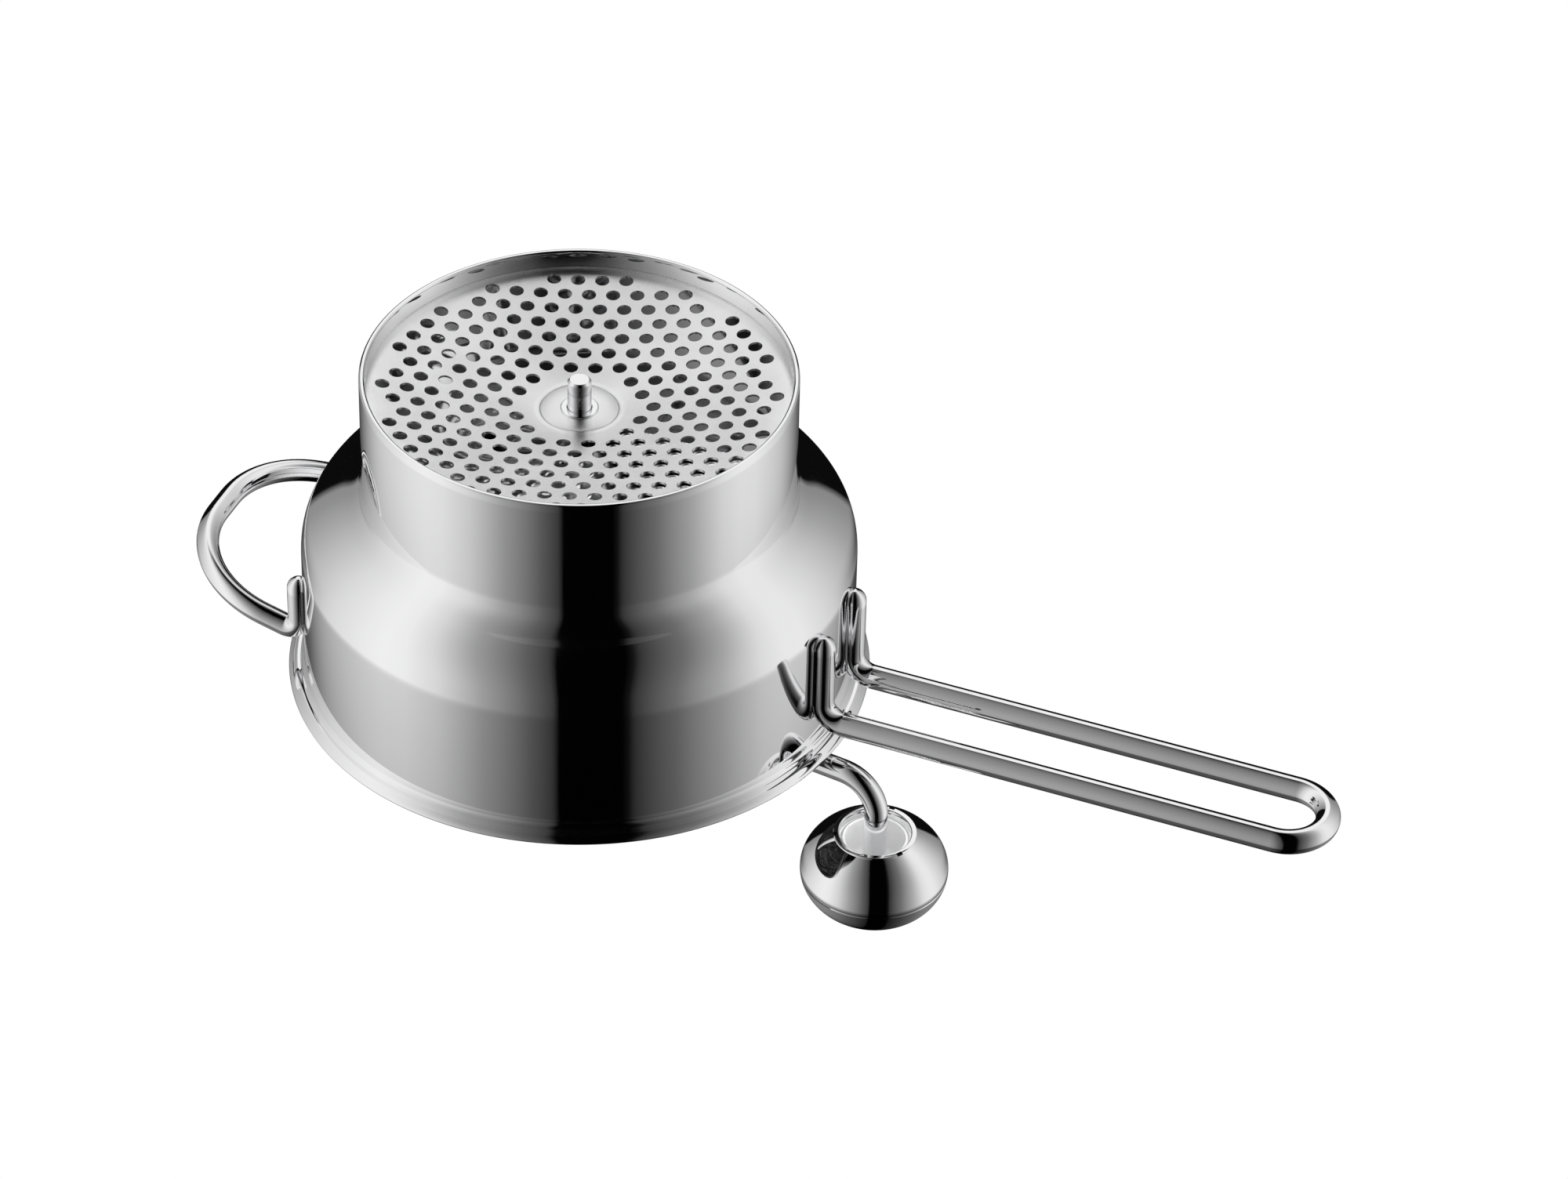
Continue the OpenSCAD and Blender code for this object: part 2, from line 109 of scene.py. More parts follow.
class Graph:
    """A short hand for the nodes of one material or world."""

    def __init__(self, tree: bpy.types.NodeTree) -> None:
        """Empties the tree."""
        self.tree = tree
        tree.nodes.clear()

    def node(self, kind: str, inputs: dict[str | int, object] | None = None,
             **settings: object) -> Node:
        """Adds a node.

        Args:
            kind: the node's type.
            inputs: sockets or numbers for its inputs, by name or place.
            settings: the node's own properties.

        Returns:
            The new node.
        """
        made = self.tree.nodes.new(kind)
        for name, value in settings.items():
            setattr(made, name, value)
        for key, source in (inputs or {}).items():
            self.plug(source, made.inputs[key])
        return made

    def plug(self, source: object, socket: Socket) -> None:
        """Links a socket to an input, or sets the input to a number."""
        if isinstance(source, Socket):
            self.tree.links.new(source, socket)
        else:
            socket.default_value = source

    def math(self, operation: str, *values: object) -> Socket:
        """The result of a Math node's operation on sockets or numbers."""
        return self.node("ShaderNodeMath", dict(enumerate(values)), operation=operation).outputs[0]

    def ramp(self, factor: Socket, stops: Iterable[Point]) -> Socket:
        """A grey ramp.

        Args:
            factor: where on the ramp.
            stops: pairs of place from 0 to 1 and display level from 0 to 255.

        Returns:
            The ramp's colour socket.
        """
        made = self.node("ShaderNodeValToRGB", {0: factor})
        elements = made.color_ramp.elements
        places = list(stops)
        while len(elements) < len(places):
            elements.new(1.0)
        for element, (place, level) in zip(elements, places):
            element.position = place
            element.color = grey(level)
        return made.outputs[0]

    def smooth(self, value: object, low: float, high: float, to_low: float = 0.0,
               to_high: float = 1.0) -> Socket:
        """A smooth step of value between low and high, mapped to to_low and to_high."""
        ends = dict(enumerate((value, low, high, to_low, to_high)))
        return self.node("ShaderNodeMapRange", ends, interpolation_type="SMOOTHSTEP").outputs[0]

    def mix(self, factor: object, first: object, second: object) -> Socket:
        """A colour mix from first to second."""
        ends = {0: factor, 6: first, 7: second}
        return self.node("ShaderNodeMix", ends, data_type="RGBA").outputs[2]

    def blend(self, factor: object, first: Node, second: Node) -> Node:
        """A shader that goes from first to second."""
        ends = {0: factor, 1: first.outputs[0], 2: second.outputs[0]}
        return self.node("ShaderNodeMixShader", ends)

    def end(self, shader: Node, kind: str = "Material") -> None:
        """Ends a material's graph, or that of another kind of data, in this shader."""
        self.node(f"ShaderNodeOutput{kind}", {0: shader.outputs[0]})

    def noise(self, scale: float, detail: float = 2.0, stretch: Triple = (1, 1, 1)
              ) -> Socket:
        """Noise on the piece's own coordinates.

        Args:
            scale: features per metre.
            detail: how many finer layers it has.
            stretch: how the pattern is squeezed along each axis.

        Returns:
            The noise's value.
        """
        place = self.node("ShaderNodeTexCoord").outputs["Object"]
        squeeze = self.node("ShaderNodeMapping", {"Scale": stretch, "Vector": place})
        return self.node("ShaderNodeTexNoise", {
            "Scale": scale, "Detail": detail, "Vector": squeeze.outputs[0]}).outputs["Fac"]


# ---- finishes


BLACK = (0, 0, 0, 1)
WHITE_LIGHT = (1, 1, 1, 1)


def grey(level: float) -> tuple[float, float, float, float]:
    """Returns the colour of a grey display level from 0 to 255."""
    return (*[srgb(level)] * 3, 1)


def new_material(name: str) -> tuple[bpy.types.Material, Graph]:
    """Makes a material.

    Args:
        name: its name.

    Returns:
        The material and its empty graph.
    """
    made = bpy.data.materials.new(name)
    made.use_nodes = True
    return made, Graph(made.node_tree)


@dataclass(frozen=True)
class Finish:
    """What a piece is made of; a finish with no slot of its own has an empty one."""

    name: str
    slot: str
    tint: Triple
    roughness: float

    def material(self) -> bpy.types.Material:
        """Returns the finish's material, made on first use."""
        made = bpy.data.materials.get(self.name)
        if not made:
            made, graph = new_material(self.name)
            graph.end(self.shader(graph))
        return made

    def shader(self, graph: Graph) -> Node:
        """Returns the finish's own shader."""
        raise NotImplementedError

    def coated(self, graph: Graph, shade: Socket, smear: Socket,
               spread: float, relief: dict[str, object], own: dict[str, object]) -> Node:
        """The shader that every kind of finish starts from.

        Args:
            graph: receives the nodes.
            shade: how much of the tint shows.
            smear: noise that moves the roughness.
            spread: how far it moves.
            relief: the bump's inputs.
            own: the shader's other inputs.

        Returns:
            The shader's node.
        """
        gloss = graph.smooth(smear, 0.3, 0.7, self.roughness - spread, self.roughness + spread)
        return graph.node("ShaderNodeBsdfPrincipled", {
            "Base Color": graph.mix(shade, BLACK, (*self.tint, 1)), "Roughness": gloss,
            "Normal": graph.node("ShaderNodeBump", relief).outputs[0], **own})


@dataclass(frozen=True)
class Metal(Finish):
    """A steel finish: tint, gloss, and the fine marks that polishing or brushing leaves."""

    roughness_spread: float
    mark_scale: float
    mark_depth: float
    mark_stretch: Triple = (1, 1, 1)
    turned: bool = False
    anisotropy: float = 0.0

    def shader(self, graph: Graph) -> Node:
        """Returns steel with faint clouds and smears, and with its marks as a bump."""
        shade = graph.smooth(graph.noise(18.0, 3.0), 0.25, 0.75, 0.965, 1.0)
        marks = self._rings(graph) if self.turned else graph.noise(
            self.mark_scale, 3.0, self.mark_stretch)
        relief = {"Strength": 0.35, "Distance": self.mark_depth, "Height": marks}
        own = {"Metallic": 1.0, "Anisotropic": self.anisotropy}
        return self.coated(graph, shade, graph.noise(60.0, 4.0), self.roughness_spread, relief, own)

    def _rings(self, graph: Graph) -> Socket:
        """Returns fine rings about the Z axis, broken up by noise."""
        place = graph.node("ShaderNodeTexCoord").outputs["Object"]
        rings = graph.node("ShaderNodeTexWave", wave_type="RINGS", rings_direction="Z", inputs={
            "Scale": self.mark_scale, "Distortion": 1.5, "Detail": 2.0, "Vector": place})
        return rings.outputs["Fac"]


@dataclass(frozen=True)
class Plastic(Finish):
    """A moulded plastic with a faint grain."""

    def shader(self, graph: Graph) -> Node:
        """Returns slightly translucent plastic with fine grain as a bump."""
        shade = graph.smooth(graph.noise(90.0), 0.3, 0.7, 0.97, 1.0)
        relief = {"Strength": 0.2, "Distance": 0.02 * MM, "Height": graph.noise(2500.0)}
        own = {"Subsurface Weight": 0.15, "Subsurface Radius": (2 * MM,) * 3}
        return self.coated(graph, shade, graph.noise(300.0), 0.05, relief, own)


MIRROR = Metal("mirror_polished_steel", "mirror_steel", (0.94, 0.94, 0.945), 0.045, 0.015,
               900.0, 0.004 * MM, (1, 1, 0.25))
WIRE_POLISH = Metal("polished_wire_steel", "mirror_steel", (0.93, 0.93, 0.94), 0.07, 0.02,
                    700.0, 0.006 * MM)
DISC_SATIN = Metal("turned_satin_steel", "satin_steel", (0.92, 0.92, 0.925), 0.26, 0.03,
                   900.0, 0.02 * MM, turned=True, anisotropy=0.2)
BRUSHED = Metal("brushed_bar_steel", "satin_steel", (0.86, 0.86, 0.87), 0.24, 0.04,
                1800.0, 0.03 * MM, (1, 0.03, 1))
# Painted shade: a near-black seat that stands in for the shadow in the knob ring's notches and recess.
SHADOW = Plastic("painted_shade_ring_seat", "", (0.012, 0.012, 0.012), 0.6)
SPRING = Metal("drawn_spring_steel", "spring_steel", (0.70, 0.71, 0.73), 0.18, 0.04,
               2500.0, 0.01 * MM)
WHITE = Plastic("white_insert_plastic", "white_plastic", (0.97, 0.97, 0.97), 0.38)

# ---- mesh helpers


def new_object(name: str, mesh: BMesh) -> bpy.types.Object:
    """Turns a bmesh into an object in the scene.

    Args:
        name: the object's name.
        mesh: its shape; it is freed.

    Returns:
        The new object.
    """
    data = bpy.data.meshes.new(name)
    mesh.to_mesh(data)
    mesh.free()
    made = bpy.data.objects.new(name, data)
    bpy.context.scene.collection.objects.link(made)
    return made


def edges_of(made: Iterable[object], open_only: bool = False) -> list[bmesh.types.BMEdge]:
    """Picks edges from what an operator made.

    Args:
        made: the operator's result.
        open_only: whether only edges with a single face are wanted.

    Returns:
        The edges, in order.
    """
    return [g for g in made if isinstance(g, bmesh.types.BMEdge)
            and (not open_only or len(g.link_faces) == 1)]


def make_piece(name: str, mesh: BMesh, finish: Finish, body: Body,
               nodes: Iterable[str], crease: float = 32.0) -> bpy.types.Object:
    """Turns a bmesh into a finished piece of the mill.

    Args:
        name: the piece's name.
        mesh: its shape in the frame's place; it is freed.
        finish: what it is made of.
        body: the rigid body that carries it.
        nodes: the CAD nodes that it stands for.
        crease: edges sharper than this, in degrees, stay crisp.

    Returns:
        The new object.
    """
    bmesh.ops.remove_doubles(mesh, verts=mesh.verts, dist=MERGE)
    bmesh.ops.recalc_face_normals(mesh, faces=mesh.faces)
    piece = new_object(name, mesh)
    data = piece.data
    data.materials.append(finish.material())
    for polygon in data.polygons:
        polygon.use_smooth = True
    data.set_sharp_from_angle(angle=math.radians(crease))
    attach(piece, body.value)
    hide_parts(*nodes)
    LOG.info("%s: %d faces on %s", name, len(data.polygons), body.value)
    return piece


def lathe(mesh: BMesh, outline: Iterable[Point], steps: int = FINE_STEPS,
          axis_at: Point = (0, 0), start: float = 0.0, angle: float = 360.0) -> None:
    """Spins a closed outline about a vertical axis.

    Args:
        mesh: receives the turned shape.
        outline: pairs of radius and height, in order.
        steps: how many steps the turn has.
        axis_at: where the axis stands in X and Y.
        start, angle: the first angle and the sweep in degrees.
    """
    turned = Matrix.Rotation(math.radians(start), 4, "Z")
    centre = Vector((*axis_at, 0))
    points = [mesh.verts.new(centre + turned @ Vector((r, 0, z))) for r, z in outline]
    edges = [mesh.edges.new(pair) for pair in zip(points, [*points[1:], points[0]])]
    full = abs(angle) >= 360
    if not full:
        mesh.faces.new(points)
    spun = bmesh.ops.spin(mesh, geom=[*points, *edges], cent=centre, axis=UP,
                          angle=math.radians(angle), steps=steps, use_merge=full)
    if not full:
        bmesh.ops.edgeloop_fill(mesh, edges=edges_of(spun["geom_last"]))
    bmesh.ops.remove_doubles(mesh, verts=mesh.verts, dist=0.001 * MM)
    flat = [f for f in mesh.faces if f.calc_area() < 1e-14]
    if flat:
        bmesh.ops.delete(mesh, geom=flat, context="FACES_ONLY")


def softened(outline: list[Point], spread: float, step: float = 0.6 * MM) -> list[Point]:
    """Evens out how fast an outline turns, as drawn sheet does, and keeps its two ends.

    Args:
        outline: the outline's points in order.
        spread: the half length over which neighbouring points are averaged.
        step: the spacing of the new points.

    Returns:
        Evenly spaced points.
    """
    walked = [0.0]
    for before, after in zip(outline, outline[1:]):
        walked.append(walked[-1] + math.dist(before, after))
    count = round(walked[-1] / step)

    def at(along: float) -> Point:
        """The outline's point after this much of its length."""
        k = max(i for i in range(len(outline) - 1) if walked[i] <= max(along, 0.0))
        share = (along - walked[k]) / (walked[k + 1] - walked[k])
        return tuple(a + (b - a) * share for a, b in zip(outline[k], outline[k + 1]))

    made = []
    for i in range(count + 1):
        along = walked[-1] * i / count
        reach = min(spread, along, walked[-1] - along)
        near = [at(along + reach * j / 6) for j in range(-6, 7)]
        weights = [math.cos(math.pi * j / 14) ** 2 for j in range(-6, 7)]
        made.append(tuple(sum(w * p[axis] for w, p in zip(weights, near)) / sum(weights)
                          for axis in (0, 1)))
    return made


def chamfered(r_in: float, r_out: float, low: float, high: float, edge: float = 0.25 * MM
              ) -> list[Point]:
    """The outline of a turned ring whose four corners are rounded by edge."""
    return [
        *arc(r_in + edge, low + edge, edge, 180, 270, 3),
        *arc(r_out - edge, low + edge, edge, 270, 360, 3),
        *arc(r_out - edge, high - edge, edge, 0, 90, 3),
        *arc(r_in + edge, high - edge, edge, 90, 180, 3),
    ]


@dataclass
class Wire:
    """A round wire that is drawn along straights and bends by extruding its end ring."""

    mesh: BMesh
    radius: float
    at: Vector
    heading: Vector
    sides: int = 40
    ring: list[bmesh.types.BMEdge] = field(default_factory=list)

    def start(self, domed: bool) -> None:
        """Makes the first ring of the wire, behind a dome if domed."""
        turn = UP.rotation_difference(self.heading).to_matrix().to_4x4()
        made = bmesh.ops.create_circle(self.mesh, cap_ends=False, segments=self.sides,
                                       radius=self.radius, matrix=Matrix.Translation(self.at) @ turn)
        self.ring = list({e for v in made["verts"] for e in v.link_edges})
        if domed:
            self._dome(self.ring, -self.heading)

    def _dome(self, ring: list[bmesh.types.BMEdge], out: Vector) -> None:
        """Closes a ring with a half ball that points out."""
        steps = 7
        centre = self.at.copy()
        edges = ring
        for i in range(1, steps):
            before = math.radians(90 * (i - 1) / steps)
            after = math.radians(90 * i / steps)
            grown = bmesh.ops.extrude_edge_only(self.mesh, edges=edges)["geom"]
            edges = edges_of(grown, open_only=True)
            verts = list({v for e in edges for v in e.verts})
            shrink = math.cos(after) / math.cos(before)
            middle = centre + out * self.radius * math.sin(before)
            for v in verts:
                v.co = middle + (v.co - middle) * shrink
            rise = out * self.radius * (math.sin(after) - math.sin(before))
            bmesh.ops.translate(self.mesh, verts=verts, vec=rise)
        bmesh.ops.edgeloop_fill(self.mesh, edges=edges)

    def straight(self, length: float, steps: int = 1) -> "Wire":
        """Draws the wire straight on by length, in steps."""
        for _ in range(steps):
            grown = bmesh.ops.extrude_edge_only(self.mesh, edges=self.ring)["geom"]
            self.ring = edges_of(grown, open_only=True)
            verts = list({v for e in self.ring for v in e.verts})
            bmesh.ops.translate(self.mesh, verts=verts, vec=self.heading * (length / steps))
        self.at = self.at + self.heading * length
        return self

    def bend(self, radius: float, toward: Vector, degrees: float, steps: int = 20) -> "Wire":
        """Bends the wire.

        Args:
            radius: the bend's centreline radius.
            toward: the direction from the wire to the bend's centre.
            degrees: how far it turns.
            steps: how many steps the bend has.

        Returns:
            The wire itself.
        """
        centre = self.at + toward * radius
        axis = self.heading.cross(toward).normalized()
        spun = bmesh.ops.spin(self.mesh, geom=self.ring, cent=centre, axis=axis,
                              angle=math.radians(degrees), steps=steps)
        self.ring = edges_of(spun["geom_last"])
        turn = Matrix.Rotation(math.radians(degrees), 4, axis)
        self.at = centre + turn @ (self.at - centre)
        self.heading = (turn @ self.heading).normalized()
        return self

    def finish(self, domed: bool) -> None:
        """Closes the wire's end, with a dome if domed."""
        if domed:
            self._dome(self.ring, self.heading)
        else:
            bmesh.ops.edgeloop_fill(self.mesh, edges=self.ring)


def drilled(mesh: BMesh, drills: BMesh) -> BMesh:
    """Cuts drills out of a closed mesh.

    Args:
        mesh: the solid; it is freed.
        drills: closed cutters; they are freed.

    Returns:
        The cut solid.
    """
    objects = []
    for name, part in (("stock", mesh), ("drills", drills)):
        bmesh.ops.recalc_face_normals(part, faces=part.faces)
        objects.append(new_object(name, part))
    stock, cutters = objects
    cut = stock.modifiers.new("cut", "BOOLEAN")
    cut.object = cutters
    cut.operation = "DIFFERENCE"
    cut.solver = "EXACT"
    bpy.context.view_layer.update()
    result = bmesh.new()
    result.from_object(stock, bpy.context.evaluated_depsgraph_get())
    for used in objects:
        data = used.data
        bpy.data.objects.remove(used)
        bpy.data.meshes.remove(data)
    return result


def crisp_copy(node: str, finish: Finish, body: Body, edge: float = 0.25 * MM,
               segments: int = 2) -> bpy.types.Object:
    """A machined piece made from a merged copy of its CAD node, with its sharp edges broken.

    Args:
        node: the CAD node.
        finish: what it is made of.
        body: the rigid body that carries it.
        edge: how wide its broken edges are.
        segments: how many faces a broken edge has.

    Returns:
        The new object.
    """
    mesh = bmesh.new()
    mesh.from_mesh(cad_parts[node].data)
    bmesh.ops.remove_doubles(mesh, verts=mesh.verts, dist=MERGE)
    bmesh.ops.dissolve_limit(mesh, angle_limit=math.radians(0.4), verts=mesh.verts, edges=mesh.edges)
    sharp = [e for e in mesh.edges if e.is_manifold and e.calc_face_angle(0) > math.radians(32)]
    bmesh.ops.bevel(mesh, geom=sharp, offset=edge, affect="EDGES", segments=segments,
                    profile=0.5, material=-1, clamp_overlap=True)
    return make_piece(node + "_finished", mesh, finish, body, [node])


# ---- the bowl


@dataclass
class Bowl:
    """The drawn sheet bowl with its neck, shoulder, rolled rim and folded hem."""

    wall: float = 0.8 * MM
    hollow_r: float = 8 * MM
    round_r: float = 20 * MM
    flare_r: float = 1.8 * MM
    bead_z: float = 120.2 * MM
    bead_under: float = 2.4 * MM
    bead_over: float = 1.3 * MM
    softness: float = 3.5 * MM
    fold_r: float = 0.7 * MM
    hem_t: float = 2.0 * MM
    hem_h: float = 6.2 * MM
    neck_h: float = 43.4 * MM
    body_r: float = 94.45 * MM
    neck_r: float = 73.4 * MM

    @property
    def mouth_r(self) -> float:
        """The rim's outside radius, from the frame."""
        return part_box("bowl_shell")[1].y

    def _side(self, inset: float, fine: int) -> list[Point]:
        """One face of the wall from neck to rim; inset 0 is the outside."""
        turn = math.degrees(math.acos(1 - (self.body_r - self.neck_r) / (self.hollow_r + self.round_r)))
        top = self.neck_h + (self.hollow_r + self.round_r) * math.sin(math.radians(turn))
        flare_z = self.bead_z - self.bead_under - self.flare_r
        drawn = [
            (self.neck_r - inset, self.hem_h * 0.5), (self.neck_r - inset, self.hem_h + 1 * MM),
            (self.neck_r - inset, self.neck_h * 0.6),
            *arc(self.neck_r + self.hollow_r, self.neck_h, self.hollow_r + inset, 180, 180 - turn,
                 fine),
            *arc(self.body_r - self.round_r, top, self.round_r - inset, -turn, 0, fine),
            (self.body_r - inset, flare_z - 0.5 * MM),
        ]
        flare = arc(self.body_r + self.flare_r, flare_z, self.flare_r + inset, 180, 90, fine // 2)
        return softened(drawn, self.softness) + flare

    def outline(self) -> list[Point]:
        """The closed section of the bowl: outside, rolled rim, inside, folded hem."""
        fold = self.fold_r
        hem_in = self.neck_r - self.hem_t
        outside = self._side(0, 24)
        inside = self._side(self.wall, 24)
        seat_r = self.body_r + self.flare_r
        wide = self.mouth_r - seat_r
        bead = [(seat_r + wide * x, self.bead_z + (self.bead_under if z < 0 else self.bead_over) * z)
                for x, z in arc(0, 0, 1, -85, 84, 28)]
        bead.append((seat_r, self.bead_z + self.bead_over * 0.8))
        hem = [
            (self.neck_r - self.wall, self.hem_h),
            (self.neck_r - self.wall - 0.1 * MM, self.hem_h),
            (hem_in + 0.15 * MM, self.hem_h), (hem_in, self.hem_h - 0.15 * MM),
            *arc(hem_in + fold, fold, fold, 180, 270, 6),
            *arc(self.neck_r - fold, fold, fold, 270, 360, 6),
        ]
        return [*outside, *bead, *reversed(inside[1:]), *hem]

    def build(self) -> None:
        """Builds and dresses the bowl."""
        mesh = bmesh.new()
        lathe(mesh, self.outline())
        make_piece("bowl_skin", mesh, MIRROR, Body.BOWL, ["bowl_shell"], crease=50)


@dataclass
class Disc:
    """The domed sieve disc, with its holes, and the bush that its centre holds."""

    bush_r: float = 6.4 * MM
    bore_r: float = 4.08 * MM
    thick: float = 0.8 * MM
    flat_r: float = 14.5 * MM
    cone_r: float = 69.5 * MM
    hole_d: float = 4.9 * MM
    pitch: float = 8.23 * MM
    holes_in: float = 21 * MM
    holes_out: float = 66 * MM
    row_angle: float = -20.1
    groove_r: float = 13.2 * MM
    groove_depth: float = 0.1 * MM

    def _face(self, low: float, high: float) -> list[Point]:
        """One face of the disc, from its inner edge at height high to its border at height low."""
        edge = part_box("sieve_disc")[1].x
        slope = (high - low) / (self.cone_r - self.flat_r)
        rings = 13
        radii = [self.flat_r + (self.cone_r - self.flat_r) * (0.02 + 0.96 * i / rings)
                 for i in range(rings + 1)]
        cone = [(r, high - (r - self.flat_r) * slope) for r in radii]
        groove = [(self.groove_r - 0.3 * MM, high), (self.groove_r, high + self.groove_depth),
                  (self.groove_r + 0.3 * MM, high)]
        return [(self.bush_r - 1 * MM, high), *groove, (self.flat_r - 0.3 * MM, high), *cone,
                (self.cone_r + 0.6 * MM, low), (edge, low)]

    def _drills(self) -> BMesh:
        """The drills that cut the lattice of holes."""
        mesh = bmesh.new()
        rows = math.ceil(self.holes_out / (self.pitch * math.sqrt(3) / 2)) + 1
        turn = Matrix.Rotation(math.radians(self.row_angle), 4, "Z")
        for i in range(-rows, rows + 1):
            for j in range(-rows, rows + 1):
                place = Vector(((i + j / 2) * self.pitch, j * self.pitch * math.sqrt(3) / 2, 0))
                if self.holes_in < place.length < self.holes_out:
                    bmesh.ops.create_cone(
                        mesh, cap_ends=True, segments=28, radius1=self.hole_d / 2,
                        radius2=self.hole_d / 2, depth=40 * MM, matrix=turn @ Matrix.Translation(place))
        return mesh

    def build(self) -> None:
        """Builds and dresses the disc and its bush."""
        low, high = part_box("sieve_disc")
        under = self._face(low.z, high.z - self.thick)
        over = self._face(low.z + self.thick, high.z)
        mesh = bmesh.new()
        lathe(mesh, [*under, *reversed(over)])
        disc = drilled(mesh, self._drills())
        make_piece("sieve_disc_satin", disc, DISC_SATIN, Body.BOWL, ["sieve_disc"], crease=28)
        low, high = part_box("disc_bush")
        mesh = bmesh.new()
        lathe(mesh, chamfered(self.bore_r, self.bush_r, low.z, high.z, 0.35 * MM), TURNED_STEPS)
        make_piece("disc_bush_turned", mesh, MIRROR, Body.BOWL, ["disc_bush"])


# ---- handles


@dataclass
class Handles:
    """The long wire handle and the short helper loop, their feet flattened on the wall."""

    body_r: float = 94.45 * MM
    foot_sink: float = 1.4 * MM
    long_d: float = 8.4 * MM
    long_gap: float = 28 * MM
    long_z: float = 107 * MM
    long_foot: float = 35 * MM
    long_elbow: float = 8 * MM
    long_split: float = 136 * MM
    helper_d: float = 7.8 * MM
    helper_gap: float = 80 * MM
    helper_z: float = 106 * MM
    helper_tilt: float = 14.7
    helper_foot: float = 18 * MM
    helper_corner: float = 35.5 * MM
    helper_reach: float = 137.5 * MM

    def _seat(self, mesh: BMesh) -> None:
        """Presses the parts of the feet that reach into the wall flat against it."""
        for vert in mesh.verts:
            reach = math.hypot(vert.co.x, vert.co.y)
            if reach < self.body_r:
                vert.co.x *= self.body_r / reach
                vert.co.y *= self.body_r / reach

    def build_long(self) -> None:
        """Builds and dresses the long handle."""
        half, r = self.long_gap / 2, self.long_d / 2
        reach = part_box("long_handle")[1].x
        foot_x = math.sqrt((self.body_r + self.foot_sink) ** 2 - half ** 2)
        mesh = bmesh.new()
        for side in (-1, 1):
            foot = Vector((foot_x, side * half, self.long_z - self.long_foot + r))
            wire = Wire(mesh, r, foot, UP.copy())
            wire.start(domed=True)
            wire.straight(self.long_foot - r - self.long_elbow, 12)
            wire.bend(self.long_elbow, Vector((1, 0, 0)), 90)
            wire.straight(self.long_split - wire.at.x, 2)
            wire.finish(domed=False)
        self._seat(mesh)
        make_piece("long_handle_feet", mesh, WIRE_POLISH, Body.BOWL, ["long_handle"], crease=40)
        mesh = bmesh.new()
        wire = Wire(mesh, r, Vector((self.long_split, half, self.long_z)), Vector((1, 0, 0)))
        wire.start(domed=False)
        bmesh.ops.edgeloop_fill(mesh, edges=wire.ring)
        run = reach - r - half - self.long_split
        wire.straight(run, 4)
        wire.bend(half, Vector((0, -1, 0)), 180, 40)
        wire.straight(run, 4)
        wire.finish(domed=False)
        loop = make_piece("long_handle_wire", mesh, WIRE_POLISH, Body.BOWL, ["long_handle"], crease=40)
        loop.visible_glossy = False

    def build_helper(self) -> None:
        """Builds and dresses the helper loop."""
        half, r = self.helper_gap / 2, self.helper_d / 2
        elbow = r + 0.7 * MM
        foot_x = math.sqrt((self.body_r + self.foot_sink) ** 2 - half ** 2)
        tilt = math.radians(self.helper_tilt)
        flat, steep = math.cos(tilt), math.sin(tilt)
        leg = (self.helper_reach - r - foot_x) / flat - self.helper_corner - elbow
        mesh = bmesh.new()
        foot = Vector((-foot_x, half, self.helper_z - self.helper_foot))
        wire = Wire(mesh, r, foot, UP.copy())
        wire.start(domed=True)
        wire.straight(self.helper_foot - elbow, 8)
        wire.bend(elbow, Vector((-1, 0, 0)), 90 + self.helper_tilt)
        wire.straight(leg, 2)
        wire.bend(self.helper_corner, Vector((0, -1, 0)), 90, 28)
        wire.straight(self.helper_gap - 2 * self.helper_corner, 2)
        wire.bend(self.helper_corner, Vector((flat, 0, steep)), 90, 28)
        wire.straight(leg, 2)
        wire.bend(elbow, Vector((steep, 0, -flat)), 90 + self.helper_tilt)
        wire.straight(self.helper_foot - elbow, 8)
        wire.finish(domed=True)
        self._seat(mesh)
        make_piece("helper_handle_wire", mesh, WIRE_POLISH, Body.BOWL, ["helper_handle"], crease=40)


# ---- crank and blade


